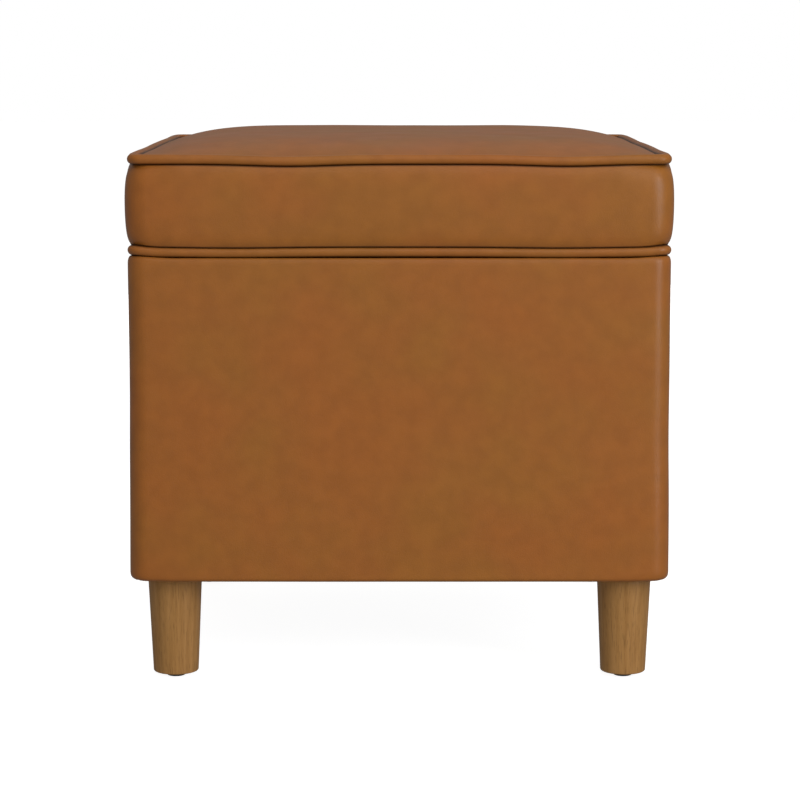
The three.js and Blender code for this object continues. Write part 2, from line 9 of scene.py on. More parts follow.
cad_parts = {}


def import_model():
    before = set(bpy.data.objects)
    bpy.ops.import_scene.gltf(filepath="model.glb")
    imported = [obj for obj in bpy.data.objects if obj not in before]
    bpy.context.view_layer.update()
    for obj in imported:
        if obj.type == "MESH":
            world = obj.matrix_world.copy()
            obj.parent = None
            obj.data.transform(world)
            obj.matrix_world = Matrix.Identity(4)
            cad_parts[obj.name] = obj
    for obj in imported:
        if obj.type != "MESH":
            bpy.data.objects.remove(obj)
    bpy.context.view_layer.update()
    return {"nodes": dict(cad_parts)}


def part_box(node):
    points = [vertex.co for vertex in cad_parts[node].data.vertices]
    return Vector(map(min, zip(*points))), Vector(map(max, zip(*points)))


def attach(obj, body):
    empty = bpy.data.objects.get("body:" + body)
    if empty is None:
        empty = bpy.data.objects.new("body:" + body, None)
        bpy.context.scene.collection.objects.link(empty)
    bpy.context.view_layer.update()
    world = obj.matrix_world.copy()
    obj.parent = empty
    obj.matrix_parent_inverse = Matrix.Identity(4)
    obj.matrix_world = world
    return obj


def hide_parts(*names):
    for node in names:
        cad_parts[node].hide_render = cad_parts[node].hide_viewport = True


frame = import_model()

# Places read from the frame

body_low, body_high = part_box("body_cover")
band_low, band_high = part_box("lid_band")
crown_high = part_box("lid_top_cover")[1]
top_welt_low, top_welt_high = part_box("lid_top_welt")
low_welt_low, low_welt_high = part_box("lid_bottom_welt")
lining_low, lining_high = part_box("well_lining")
dust_low, dust_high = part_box("dust_cover")
underlining_low, underlining_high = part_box("lid_underlining")
foam_low, foam_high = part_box("lid_foam")
CORNERS = ("front_left", "front_right", "rear_left", "rear_right")

# Sizes of the leatherwork

LEATHER = 0.0012
BODY_CORNER = 0.016
BODY_EASE = 0.0008
BODY_FOOT_EASE = 0.0008
BODY_LIFT = 0.0006
BODY_CORNER_LIFT = 0.0014
BODY_FLARE = 0.0020
BODY_FOOT_ROUND = 0.0034
BODY_FOOT_LIFT = 0.0007
BODY_CREST = (0.0026, 0.0060)
BAND_EASE = 0.0011
BAND_TOP_EASE = 0.0028
BAND_BOTTOM_EASE = 0.0012
TOP_WELT_EASE = 0.0014
LOW_WELT_EASE = 0.0009
REAR_DROP = 0.003
WALL_INNER = lining_high.x - LEATHER
FLAP_DEPTH = 0.024
TURNED_EDGE = 0.026
BAND_CORNER = 0.020
WELT_CORNER = 0.0075
WELT_RADIUS = 0.0041
WELT_HALF = band_high.x - 0.00652
TOP_WELT_Z = (top_welt_low.z + top_welt_high.z) / 2
LOW_WELT_Z = (low_welt_low.z + low_welt_high.z) / 2
BAND_ROUND = 0.0014
BAND_EDGE_ROUND = 0.002
CROWN_FLATNESS = 6.76
CROWN_EDGE = 1.1
CROWN_RISE = crown_high.z - TOP_WELT_Z
CUSHION_SLACK = 0.003
FOAM_FIRMNESS = 0.85
FOAM_GAP = 0.0014
PANEL_CORNER = 0.0045
PAD_INSET = 0.003
LINING_THICKNESS = 0.0007
LINING_FOLD = 0.004

# Legs and fittings

LEG_FOOT_RADIUS = 0.0183
LEG_FOOT_EDGE = 0.0013
GLIDE_EDGE = 0.0011
BRACKET_STEEL = 0.0015
BRACKET_SCREW_RADIUS = 0.0028
STAPLE_LENGTH = 0.0105
STAPLE_WIRE = 0.0009
RIVET_HEAD = 0.0008
BOARD_EDGE = 0.0008
ROUNDED_BOARD_EDGE = 0.003
STEEL_EDGE = 0.0002

# Fineness of the meshes

CORNER_STEPS = 10
SIDE_STEPS = 64
CUSHION_CELLS = 76
TUBE_SIDES = 24


# Mesh building

def smoothstep(low, high, value):
    share = min(max((value - low) / (high - low), 0.0), 1.0)
    return share * share * (3 - 2 * share)


def bump(offset, width):
    return math.exp(-(offset / width) ** 2)


def drift(point, size, seed):
    """Smooth noise from -1 to 1 whose features are about size metres across."""
    return noise.noise(Vector(point) / size + Vector((seed * 7.3, seed * 3.1, seed * 5.7)))


def make_object(name, vertices, faces, smooth=True):
    mesh = bpy.data.meshes.new(name)
    mesh.from_pydata([tuple(v) for v in vertices], [], faces)
    work = bmesh.new()
    work.from_mesh(mesh)
    bmesh.ops.recalc_face_normals(work, faces=work.faces)
    work.to_mesh(mesh)
    work.free()
    mesh.update()
    if smooth:
        mesh.shade_smooth()
    item = bpy.data.objects.new(name, mesh)
    bpy.context.scene.collection.objects.link(item)
    return item


def ease_corner(point, depth, start, end):
    """Pulls a point in towards the middle by up to depth near the corners of the plan."""
    share = smoothstep(start, end, abs(point.x)) * smoothstep(start, end, abs(point.y))
    point.x -= math.copysign(depth * share, point.x)
    point.y -= math.copysign(depth * share, point.y)
    return point


def plan_ring(half, arc_centre):
    """A rounded square's points, anticlockwise from +X, with its corner arcs centred at arc_centre."""
    radius = max(half - arc_centre, min(half, 0.0015))
    centre = half - radius
    signs = ((1, 1), (-1, 1), (-1, -1), (1, -1))

    def arc_point(quarter, share):
        angle = (quarter + share) * math.pi / 2
        sign_x, sign_y = signs[quarter % 4]
        x = sign_x * centre + radius * math.cos(angle)
        y = sign_y * centre + radius * math.sin(angle)
        return Vector((x, y))

    ring = []
    for quarter in range(4):
        ring += [arc_point(quarter, step / CORNER_STEPS) for step in range(CORNER_STEPS + 1)]
        start, end = arc_point(quarter, 1), arc_point(quarter + 1, 0)
        ring += [start.lerp(end, step / SIDE_STEPS) for step in range(1, SIDE_STEPS)]
    return ring


def paint_seam_shade(item, shade_levels):
    """Stores how much painted shade each vertex takes in the seams, from 0 to 1, for the leather to go near
    black.
    """
    marks = item.data.attributes.new("seam_shade", "FLOAT", "POINT")
    marks.data.foreach_set("value", shade_levels)


def swept(name, profile, arc_centre, shape=None, seam_shade=None):
    """Sweeps a closed profile of (half-width, height) round a rounded square.

    shape may move each point, and the last function gives how much painted seam shade a profile point takes.
    """
    rings = [plan_ring(half, arc_centre) for half, _ in profile]
    count, rows = len(rings[0]), len(profile)
    vertices = []
    for (half, height), ring in zip(profile, rings):
        for x, y in ring:
            point = Vector((x, y, height))
            vertices.append(shape(point) if shape else point)
    faces = []
    for row in range(rows):
        after = (row + 1) % rows
        for step in range(count):
            ahead = (step + 1) % count
            near, far = row * count, after * count
            faces.append((near + step, near + ahead, far + ahead, far + step))
    item = make_object(name, vertices, faces)
    if seam_shade:
        shade_levels = [seam_shade(half, height) for half, height in profile]
        paint_seam_shade(item, [depth for depth in shade_levels for _ in range(count)])
    return item


def thickened(outline, thickness):
    """A closed profile: the outline, then the same line again set back by the thickness on its left."""
    inner = []
    for index, point in enumerate(outline):
        before = Vector(outline[max(index - 1, 0)])
        after = Vector(outline[min(index + 1, len(outline) - 1)])
        along = (after - before).normalized()
        inner.append((point[0] - along.y * thickness, point[1] + along.x * thickness))
    return list(outline) + inner[::-1]


def arc(centre, radius, start, end, steps):
    """Points of an arc between two angles in degrees."""
    angles = [math.radians(start + (end - start) * step / steps) for step in range(steps + 1)]
    return [(centre[0] + radius * math.cos(a), centre[1] + radius * math.sin(a)) for a in angles]


def run(start, end, steps):
    """Evenly spaced points after start, up to and with end."""
    return [
        (start[0] + (end[0] - start[0]) * step / steps, start[1] + (end[1] - start[1]) * step / steps)
        for step in range(1, steps + 1)
    ]


def turned(name, profile, centre, sides=64):
    """A lathe round a vertical axis from (radius, height) pairs that start and end on the axis."""
    vertices = [Vector((*centre, profile[0][1]))]
    for radius, height in profile[1:-1]:
        for side in range(sides):
            angle = 2 * math.pi * side / sides
            offset = Vector((radius * math.cos(angle), radius * math.sin(angle), height))
            vertices.append(Vector((*centre, 0)) + offset)
    vertices.append(Vector((*centre, profile[-1][1])))
    last = len(vertices) - 1
    rows = len(profile) - 2
    faces = []
    for side in range(sides):
        ahead = (side + 1) % sides
        faces.append((0, 1 + ahead, 1 + side))
        for row in range(rows - 1):
            a, b = 1 + row * sides, 1 + (row + 1) * sides
            faces.append((a + side, a + ahead, b + ahead, b + side))
        end = 1 + (rows - 1) * sides
        faces.append((end + side, end + ahead, last))
    return make_object(name, vertices, faces)


def joined(name, parts):
    """One mesh from several lists of (vertices, faces)."""
    vertices, faces = [], []
    for part_vertices, part_faces in parts:
        start = len(vertices)
        vertices += part_vertices
        faces += [tuple(start + index for index in face) for face in part_faces]
    return make_object(name, vertices, faces, smooth=False)


def add_modifier(item, kind, **values):
    modifier = item.modifiers.new(kind.lower(), kind)
    for key, value in values.items():
        setattr(modifier, key, value)
    return modifier


def settle(item, body, material, slot, *nodes):
    """Gives a finished piece its material and body, and hides the CAD nodes that it stands for; its slot is not
    used.
    """
    item.data.materials.clear()
    item.data.materials.append(material)
    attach(item, body)
    if nodes:
        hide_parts(*nodes)
    return item


# Materials

class Nodes:
    """A node tree under construction, with short calls for the nodes used here."""

    def __init__(self, name, roughness, metallic=0.0, specular=0.5):
        self.material = bpy.data.materials.new(name)
        self.material.use_nodes = True
        self.tree = self.material.node_tree
        self.shader = self.tree.nodes["Principled BSDF"]
        self.shader.inputs["Roughness"].default_value = roughness
        self.shader.inputs["Metallic"].default_value = metallic
        self.shader.inputs["Specular IOR Level"].default_value = specular
        self.place = self.add("ShaderNodeTexCoord").outputs["Object"]

    def add(self, kind, **values):
        node = self.tree.nodes.new(kind)
        for key, value in values.items():
            setattr(node, key, value)
        return node

    def link(self, source, target):
        self.tree.links.new(source, target)

    def stretched(self, scale):
        mapping = self.add("ShaderNodeMapping")
        mapping.inputs["Scale"].default_value = scale
        self.link(self.place, mapping.inputs["Vector"])
        return mapping.outputs["Vector"]

    def noise(self, scale, detail=3.0, roughness=0.5, vector=None):
        node = self.add("ShaderNodeTexNoise")
        node.inputs["Scale"].default_value = scale
        node.inputs["Detail"].default_value = detail
        node.inputs["Roughness"].default_value = roughness
        self.link(vector or self.place, node.inputs["Vector"])
        return node.outputs["Fac"]

    def cells(self, scale, feature="F1", vector=None):
        node = self.add("ShaderNodeTexVoronoi", feature=feature)
        node.inputs["Scale"].default_value = scale
        self.link(vector or self.place, node.inputs["Vector"])
        return node.outputs["Distance"]

    def ramp(self, factor, *stops):
        """Each stop is (position, colour or grey value)."""
        node = self.add("ShaderNodeValToRGB")
        elements = node.color_ramp.elements
        while len(elements) < len(stops):
            elements.new(0.5)
        for element, (position, value) in zip(elements, stops):
            element.position = position
            element.color = (*value, 1) if isinstance(value, tuple) else (value, value, value, 1)
        self.link(factor, node.inputs["Fac"])
        return node.outputs["Color"]

    def mix(self, factor, first, second, blend="MIX"):
        node = self.add("ShaderNodeMix", data_type="RGBA", blend_type=blend)
        for name, value in (("Factor", factor), ("A", first), ("B", second)):
            socket = next(s for s in node.inputs if s.name == name and s.enabled)
            if isinstance(value, (int, float)):
                socket.default_value = value
            elif isinstance(value, tuple):
                socket.default_value = (*value, 1)
            else:
                self.link(value, socket)
        return next(s for s in node.outputs if s.enabled)

    def relief(self, height, distance, strength=1.0, under=None):
        node = self.add("ShaderNodeBump")
        node.inputs["Strength"].default_value = strength
        node.inputs["Distance"].default_value = distance
        self.link(height, node.inputs["Height"])
        if under is not None:
            self.link(under, node.inputs["Normal"])
        return node.outputs["Normal"]

    def finish(self, colour=None, roughness=None, normal=None):
        for source, name in ((colour, "Base Color"), (roughness, "Roughness"), (normal, "Normal")):
            if isinstance(source, tuple):
                self.shader.inputs[name].default_value = (*source, 1)
            elif source is not None:
                self.link(source, self.shader.inputs[name])
        return self.material


def leather_material():
    """Caramel faux leather: cloudy pull-up colour, pebbled grain of about a millimetre, fine creases, and
    painted near-black shade in its seams.
    """
    n = Nodes("caramel_leather", roughness=0.45, specular=0.5)
    clouds = n.noise(11.0, detail=2.5, roughness=0.55)
    warm = n.ramp(
        clouds,
        (0.36, (0.350, 0.111, 0.0165)),
        (0.50, (0.338, 0.113, 0.0170)),
        (0.64, (0.330, 0.118, 0.0165)),
    )
    mottle = n.ramp(n.noise(70.0, detail=4.0), (0.35, 0.93), (0.65, 1.04))
    colour = n.mix(1.0, warm, mottle, blend="MULTIPLY")
    grain = n.cells(950.0, feature="F1")
    pits = n.ramp(grain, (0.0, 0.0), (0.55, 1.0))
    creases = n.ramp(n.cells(260.0, feature="DISTANCE_TO_EDGE"), (0.0, 0.0), (0.07, 1.0))
    darker_pits = n.ramp(grain, (0.0, 0.93), (0.4, 1.0))
    colour = n.mix(1.0, colour, darker_pits, blend="MULTIPLY")
    # Painted shade: the seams go near black, as far as the mesh's seam attribute says.
    seam_shade = n.add("ShaderNodeAttribute", attribute_name="seam_shade").outputs["Fac"]
    colour = n.mix(seam_shade, colour, (0.022, 0.006, 0.002))
    polish = n.ramp(n.noise(30.0, detail=3.0), (0.3, 0.37), (0.7, 0.42))
    normal = n.relief(n.noise(2200.0, detail=2.0), 0.00004, 0.5)
    normal = n.relief(creases, 0.00005, 0.35, under=normal)
    normal = n.relief(pits, 0.00008, 0.5, under=normal)
    return n.finish(colour, polish, normal)


def oak_material():
    """Honey-stained oak with fine upright pores, lighter between the growth lines."""
    n = Nodes("stained_oak", roughness=0.5, specular=0.4)
    lines = n.noise(1.0, detail=4.0, roughness=0.6, vector=n.stretched((330.0, 330.0, 9.0)))
    figure = n.ramp(
        lines,
        (0.3, (0.335, 0.158, 0.042)),
        (0.5, (0.395, 0.195, 0.056)),
        (0.7, (0.450, 0.228, 0.072)),
    )
    pores = n.noise(1.0, detail=2.0, vector=n.stretched((1500.0, 1500.0, 75.0)))
    dashes = n.ramp(pores, (0.33, 0.74), (0.45, 1.0))
    colour = n.mix(1.0, figure, dashes, blend="MULTIPLY")
    polish = n.ramp(lines, (0.3, 0.58), (0.7, 0.44))
    normal = n.relief(dashes, 0.00012, 0.5)
    return n.finish(colour, polish, normal)


def plywood_material():
    """Raw birch plywood: a pale face with faint figure."""
    n = Nodes("raw_plywood", roughness=0.7, specular=0.3)
    figure = n.noise(1.0, detail=5.0, roughness=0.6, vector=n.stretched((9.0, 60.0, 60.0)))
    face = n.ramp(figure, (0.3, (0.47, 0.30, 0.15)), (0.7, (0.62, 0.44, 0.25)))
    specks = n.ramp(n.noise(700.0, detail=2.0), (0.3, 0.8), (0.45, 1.0))
    normal = n.relief(figure, 0.0002, 0.4)
    return n.finish(n.mix(1.0, face, specks, blend="MULTIPLY"), None, normal)


def nonwoven_material():
    """Black spun-bonded cloth with a fine embossed dot pattern and loose fibres."""
    n = Nodes("black_nonwoven", roughness=0.85, specular=0.25)
    fibres = n.noise(1.0, detail=5.0, roughness=0.7, vector=n.stretched((900.0, 900.0, 900.0)))
    dots = n.ramp(n.cells(640.0), (0.15, 0.0), (0.3, 1.0))
    colour = n.ramp(fibres, (0.3, (0.008, 0.008, 0.009)), (0.75, (0.026, 0.025, 0.025)))
    normal = n.relief(fibres, 0.0001, 0.5)
    normal = n.relief(dots, 0.0001, 0.5, under=normal)
    n.shader.inputs["Sheen Weight"].default_value = 0.15
    return n.finish(colour, None, normal)


def foam_material():
    n = Nodes("seat_foam", roughness=0.95, specular=0.1)
    pores = n.cells(700.0)
    colour = n.ramp(pores, (0.0, (0.55, 0.48, 0.31)), (0.5, (0.80, 0.73, 0.54)))
    return n.finish(colour, None, n.relief(pores, 0.0004, 0.8))


def wadding_material():
    n = Nodes("polyester_wadding", roughness=1.0, specular=0.1)
    fibres = n.noise(1.0, detail=6.0, roughness=0.7, vector=n.stretched((300.0, 300.0, 90.0)))
    colour = n.ramp(fibres, (0.3, (0.66, 0.65, 0.61)), (0.7, (0.86, 0.85, 0.82)))
    n.shader.inputs["Sheen Weight"].default_value = 0.3
    return n.finish(colour, None, n.relief(fibres, 0.0008, 0.7))


def steel_material(name, colour, roughness):
    """Plated steel with drawn streaks and small scuffs."""
    n = Nodes(name, roughness=roughness, metallic=1.0)
    streaks = n.noise(1.0, detail=3.0, vector=n.stretched((60.0, 900.0, 900.0)))
    scuffs = n.noise(180.0, detail=5.0, roughness=0.7)
    tone = n.ramp(scuffs, (0.3, tuple(0.82 * c for c in colour)), (0.65, colour))
    polish = n.ramp(streaks, (0.3, roughness - 0.08), (0.7, roughness + 0.12))
    return n.finish(tone, polish, n.relief(streaks, 0.00003, 0.4))


def glide_material():
    n = Nodes("dark_glide", roughness=0.45, specular=0.4)
    speckle = n.noise(500.0, detail=3.0)
    colour = n.ramp(speckle, (0.3, (0.010, 0.008, 0.007)), (0.7, (0.022, 0.017, 0.014)))
    return n.finish(colour, None, n.relief(speckle, 0.0001, 0.3))


def floor_material():
    """A white lightbox floor: it glows, so only the closest shadows show."""
    n = Nodes("studio_floor", roughness=0.9, specular=0.0)
    n.shader.inputs["Emission Color"].default_value = (1, 1, 1, 1)
    n.shader.inputs["Emission Strength"].default_value = 0.93
    return n.finish(n.ramp(n.noise(3.0), (0.3, 0.50), (0.7, 0.52)))


def backdrop_material():
    material = bpy.data.materials.new("studio_backdrop")
    material.use_nodes = True
    tree = material.node_tree
    tree.nodes.clear()
    glow = tree.nodes.new("ShaderNodeEmission")
    output = tree.nodes.new("ShaderNodeOutputMaterial")
    glow.inputs["Color"].default_value = (1, 1, 1, 1)
    glow.inputs["Strength"].default_value = 1.0
    tree.links.new(glow.outputs["Emission"], output.inputs["Surface"])
    return material


leather = leather_material()
oak = oak_material()
plywood = plywood_material()
nonwoven = nonwoven_material()
foam = foam_material()
wadding = wadding_material()
zinc = steel_material("zinc_plate", (0.60, 0.60, 0.58), 0.34)
dark_steel = steel_material("staple_wire", (0.52, 0.51, 0.49), 0.4)
glide_plastic = glide_material()


# How the seams wander: dips of the welts along each side, as (place, width, depth)

TOP_DIPS = {
    "front": ((-0.087, 0.042, 0.0015), (0.131, 0.040, 0.0015)),
    "right": ((-0.120, 0.045, 0.0004), (0.060, 0.050, 0.0005)),
    "rear": ((-0.110, 0.048, 0.0008), (0.090, 0.042, 0.0007)),
    "left": ((-0.070, 0.046, 0.0004), (0.125, 0.044, 0.0003)),
}
LOW_DIPS = {
    "front": ((-0.130, 0.050, 0.0007), (0.125, 0.050, 0.0007)),
    "right": ((-0.090, 0.050, 0.0006), (0.110, 0.045, 0.0007)),
    "rear": ((0.0, 0.090, 0.0004),),
    "left": ((-0.110, 0.050, 0.0007), (0.080, 0.045, 0.0006)),
}
LOW_LIFT = 0.0005
LOW_CORNER_LIFT = 0.0012


def side_of(point):
    """Which side of the lid a point is nearest to, and its place along that side."""
    if abs(point.x) > abs(point.y):
        return ("right" if point.x > 0 else "left"), point.y
    return ("rear" if point.y > 0 else "front"), point.x


def wander(point, dips):
    side, along = side_of(point)
    return -sum(depth * bump(along - place, width) for place, width, depth in dips[side])


def corner_closeness(point, reach=0.02):
    """1 at the lid's plan corners, falling to 0 at reach along the sides."""
    return smoothstep(WELT_HALF - reach, WELT_HALF, min(abs(point.x), abs(point.y)))


def top_wander(point):
    return wander(point, TOP_DIPS)


def low_wander(point):
    return wander(point, LOW_DIPS) + LOW_LIFT + LOW_CORNER_LIFT * corner_closeness(point)


# Box leatherwork

def body_shape(point):
    """Drops the rear wall's top for the hinges, lifts the rest to the lid and swells the panels a little."""
    share = smoothstep(body_high.z - FLAP_DEPTH, body_high.z - BODY_CREST[1], point.z)
    rear = smoothstep(WALL_INNER - 0.0004, WALL_INNER + 0.0024, point.y)
    if abs(point.x) > WALL_INNER:
        rear = smoothstep(WALL_INNER + 0.0012, WALL_INNER + 0.0040, point.y)
    point.z -= REAR_DROP * share * rear
    lift = BODY_LIFT + BODY_CORNER_LIFT * corner_closeness(point, reach=0.035)
    point.z += lift * share * (1 - rear)
    if max(abs(point.x), abs(point.y)) > body_high.x - 0.006:
        swell = 0.00035 * drift(point, 0.07, 1)
        low = 1 - smoothstep(body_low.z, body_high.z - 0.1, point.z)
        point += Vector((point.x, point.y, 0)).normalized() * (swell - 0.0002 + BODY_FLARE * low)
    foot = 1 - smoothstep(body_low.z, body_low.z + 0.008, point.z)
    rim = smoothstep(body_high.x - 0.020, body_high.x - 0.006, max(abs(point.x), abs(point.y)))
    point.z += BODY_FOOT_LIFT * foot * rim
    ease_corner(point, BODY_EASE + BODY_FOOT_EASE * foot ** 1.5, body_high.x - 0.036, body_high.x - 0.012)
    return point


def body_cover():
    half, low, high = body_high.x, body_low.z, body_high.z
    foot = BODY_FOOT_ROUND
    inward, downward = BODY_CREST
    lip = 0.003
    outline = [(half - TURNED_EDGE, low)]
    outline += run(outline[-1], (half - foot, low), 4)
    outline += arc((half - foot, low + foot), foot, -90, 0, 7)[1:]
    outline += run(outline[-1], (half, low + 0.016), 8)
    outline += run(outline[-1], (half, high - downward), 32)
    for x, z in arc((0, 0), 1, 0, 90, 7)[1:]:
        outline.append((half - inward + inward * x, high - downward + downward * z))
    outline += run(outline[-1], (WALL_INNER + lip, high), 5)
    outline += arc((WALL_INNER + lip, high - lip), lip, 90, 180, 6)[1:]
    outline += run(outline[-1], (WALL_INNER, high - FLAP_DEPTH), 8)
    return swept("box_leather_cover", thickened(outline, LEATHER), half - BODY_CORNER, body_shape)


def wall_pad(name, node):
    """A thin wadding slab with soft, slightly uneven faces, inside its CAD solid."""
    low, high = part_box(node)
    low.z += PAD_INSET
    high.z -= PAD_INSET
    size = high - low
    middle = (low + high) / 2
    thin = 0 if size.x < size.y else 1
    wide = 1 - thin
    columns, rows = 24, 16
    edge = 0.006
    vertices, faces = [], []
    for side in (-1, 1):
        for row in range(rows + 1):
            for column in range(columns + 1):
                u, v = 2 * column / columns - 1, 2 * row / rows - 1
                point = Vector(middle)
                point[wide] += u * size[wide] / 2
                point.z += v * size.z / 2
                rim = min(1 - abs(u), 1 - abs(v)) * min(size[wide], size.z) / 2
                loft = 0.35 + 0.65 * smoothstep(0, edge, rim) * (0.94 + 0.06 * drift(point, 0.02, 2))
                point[thin] += side * loft * size[thin] / 2
                vertices.append(point)
    layer = (rows + 1) * (columns + 1)
    for row in range(rows):
        for column in range(columns):
            a = row * (columns + 1) + column
            quad = (a, a + 1, a + columns + 2, a + columns + 1)
            faces += [quad, tuple(layer + index for index in reversed(quad))]
    border = [c for c in range(columns)] + [r * (columns + 1) + columns for r in range(rows)]
    border += [rows * (columns + 1) + c for c in range(columns, 0, -1)]
    border += [r * (columns + 1) for r in range(rows, 0, -1)]
    for index, start in enumerate(border):
        end = border[(index + 1) % len(border)]
        faces.append((start, layer + start, layer + end, end))
    return make_object(name, vertices, faces)


def well_lining():
    """The black lining: four walls and a floor with a soft fold where they meet."""
    half = lining_high.x - 0.0001
    fold = LINING_FOLD
    floor, high = lining_low.z + 0.0008, lining_high.z
    outline = [(0.02, floor)]
    outline += run(outline[-1], (half - fold, floor), 14)
    outline += arc((half - fold, floor + fold), fold, -90, 0, 5)[1:]
    outline += run(outline[-1], (half, high), 16)

    def ripple(point):
        if point.z > lining_low.z + 0.012:
            _, along = side_of(point)
            wave = 0.0004 * drift((along, point.z * 0.4, 0), 0.03, 4)
            point += Vector((point.x, point.y, 0)).normalized() * (wave - 0.0004)
        else:
            point.z += 0.00025 + 0.00025 * drift(point, 0.05, 5)
        return point

    return swept("storage_lining", thickened(outline, LINING_THICKNESS), half - fold, ripple)


def flat_cloth(name, low, high, seed, cells=40, sag=0.0006):
    """A stretched flat cloth with a small uneven sag, closed all round."""
    vertices, faces = [], []
    corner = 0.007
    for top in (0, 1):
        for row in range(cells + 1):
            for column in range(cells + 1):
                u, v = column / cells, row / cells
                x, y = low.x + (high.x - low.x) * u, low.y + (high.y - low.y) * v
                x, y = rounded_corner(x, y, high.x, corner)
                rim = min(u, 1 - u, v, 1 - v)
                wave = sag * smoothstep(0, 0.12, rim) * drift((x, y, 0), 0.06, seed)
                level = (low.z + high.z) / 2 + (0.35 if top else -0.35) * (high.z - low.z)
                vertices.append(Vector((x, y, level + wave)))
    layer = (cells + 1) ** 2
    for row in range(cells):
        for column in range(cells):
            a = row * (cells + 1) + column
            quad = (a, a + 1, a + cells + 2, a + cells + 1)
            faces += [tuple(reversed(quad)), tuple(layer + index for index in quad)]
    border = [c for c in range(cells)] + [r * (cells + 1) + cells for r in range(cells)]
    border += [cells * (cells + 1) + c for c in range(cells, 0, -1)]
    border += [r * (cells + 1) for r in range(cells, 0, -1)]
    for index, start in enumerate(border):
        end = border[(index + 1) % len(border)]
        faces.append((start, end, layer + end, layer + start))
    return make_object(name, vertices, faces)


def rounded_corner(x, y, half, radius):
    """Moves a point of a square of the given half-width so that the square's corners become arcs."""
    inner = half - radius
    over_x, over_y = abs(x) - inner, abs(y) - inner
    if over_x <= 0 or over_y <= 0:
        return x, y
    scale = max(over_x, over_y) / math.hypot(over_x, over_y)
    return (
        math.copysign(inner + over_x * scale, x),
        math.copysign(inner + over_y * scale, y),
    )


# Lid leatherwork

def crown_fall(along):
    share = min(abs(along) / WELT_HALF, 1)
    return (1 - share ** CROWN_FLATNESS) ** CROWN_EDGE


def crown_height(x, y):
    return TOP_WELT_Z + CROWN_RISE * crown_fall(x) * crown_fall(y)


def band_half(z):
    middle = (band_low.z + band_high.z) / 2
    share = (z - middle) / ((band_high.z - band_low.z) / 2)
    return band_high.x - BAND_ROUND * share ** 2 - BAND_EDGE_ROUND * share ** 10


def band_share(z):
    """-1 at the band's lower seam, 0 in the middle and 1 at its upper seam."""
    return (2 * z - band_low.z - band_high.z) / (band_high.z - band_low.z)


def band_shape(point):
    """Follows the welts' wander, and softens the band with slow swells and short pulls at its seams."""
    share = min(max(band_share(point.z), -1), 1)
    outward = Vector((point.x, point.y, 0)).normalized()
    _, along = side_of(point)
    swell = 0.0005 * drift(point, 0.06, 6) * (1 - share ** 2)
    seam = smoothstep(0.55, 0.95, abs(share)) - smoothstep(0.95, 1.0, abs(share))
    pull = 0.00022 * drift((along, share * 0.01, 0), 0.011, 7) * seam
    drop = top_wander(point) * (share + 1) / 2 + low_wander(point) * (1 - share) / 2
    point += outward * (swell + pull)
    point.z += drop
    depth = BAND_EASE + (BAND_TOP_EASE if share > 0 else BAND_BOTTOM_EASE) * share ** 4
    return ease_corner(point, depth, band_high.x - 0.048, band_high.x - BAND_CORNER * 0.7)


def lid_band():
    """The boxing strip: a bulging wall whose edges roll in and up against the two welts."""
    half_height = (band_high.z - band_low.z) / 2
    middle = (band_high.z + band_low.z) / 2
    shoulder = half_height - 0.0010
    steps = 26
    wall = []
    for step in range(steps + 1):
        z = middle - shoulder * math.cos(math.pi * step / steps)
        wall.append((band_half(z), z))
    lip_half = wall[-1][0]
    tuck = [(lip_half - 0.0002, 0.0002), (lip_half - 0.0007, 0.0007), (lip_half - 0.0014, 0.0010)]
    tuck += [(lip_half - 0.0024, 0.0008), (lip_half - 0.0050, 0.0002)]
    top_tuck = [(half, middle + half_height + rise - 0.0003) for half, rise in tuck]
    bottom_tuck = [(half, middle - half_height - rise + 0.0003) for half, rise in reversed(tuck)]
    outline = thickened(bottom_tuck + wall + top_tuck, LEATHER)

    # Painted shade in the tucks where the band rolls in under the welts.
    def seam_shade(half, z):
        beyond = abs(z - middle) - shoulder
        return 0.95 * smoothstep(0.0003, 0.0013, beyond)

    return swept("lid_boxing", outline, band_high.x - BAND_CORNER, band_shape, seam_shade)


def welt(name, z, wander_of, ease_depth):
    """A piping cord in its leather sleeve, with faint bead-like pulls along it."""
    ring = []
    for side in range(TUBE_SIDES):
        angle = 2 * math.pi * side / TUBE_SIDES
        ring.append((WELT_HALF + WELT_RADIUS * math.cos(angle), z + WELT_RADIUS * math.sin(angle)))

    def shape(point):
        outward = Vector((point.x, point.y, 0)).normalized()
        _, along = side_of(point)
        point += outward * (0.00012 * drift((along, z, 0), 0.014, 8))
        point.z += wander_of(point)
        return ease_corner(point, ease_depth, WELT_HALF - 0.035, WELT_HALF - WELT_CORNER * 0.8)

    # Painted shade on the tube's underside beside a seam and along its inner side.
    def seam_shade(half, height):
        out, up = (half - WELT_HALF) / WELT_RADIUS, (height - z) / WELT_RADIUS
        has_seam = up < 0 or z < band_low.z
        beside = smoothstep(0.62, 0.95, abs(up)) * has_seam
        inside = smoothstep(0.74, 0.94, -out)
        return 0.95 * max(beside, inside)

    return swept(name, ring, WELT_HALF - WELT_CORNER, shape, seam_shade)


def cushion_grid(half, height):
    """A square grid over the lid's top, its corners rounded, as (vertices, faces, border indices)."""
    cells = CUSHION_CELLS
    vertices, faces, border = [], [], []
    for row in range(cells + 1):
        for column in range(cells + 1):
            u, v = 2 * column / cells - 1, 2 * row / cells - 1
            x, y = rounded_corner(ease(u) * half, ease(v) * half, half, PANEL_CORNER)
            x, y, _ = ease_corner(Vector((x, y, 0)), TOP_WELT_EASE, half - 0.031, half - 0.002)
            vertices.append(Vector((x, y, height(x, y))))
            if row in (0, cells) or column in (0, cells):
                border.append(len(vertices) - 1)
    for row in range(cells):
        for column in range(cells):
            a = row * (cells + 1) + column
            faces.append((a, a + 1, a + cells + 2, a + cells + 1))
    return vertices, faces, border


def ease(share):
    """Spreads grid lines so that they are closer near the edges, where the cushion turns down."""
    return math.copysign(1 - (1 - abs(share)) ** 1.35, share)


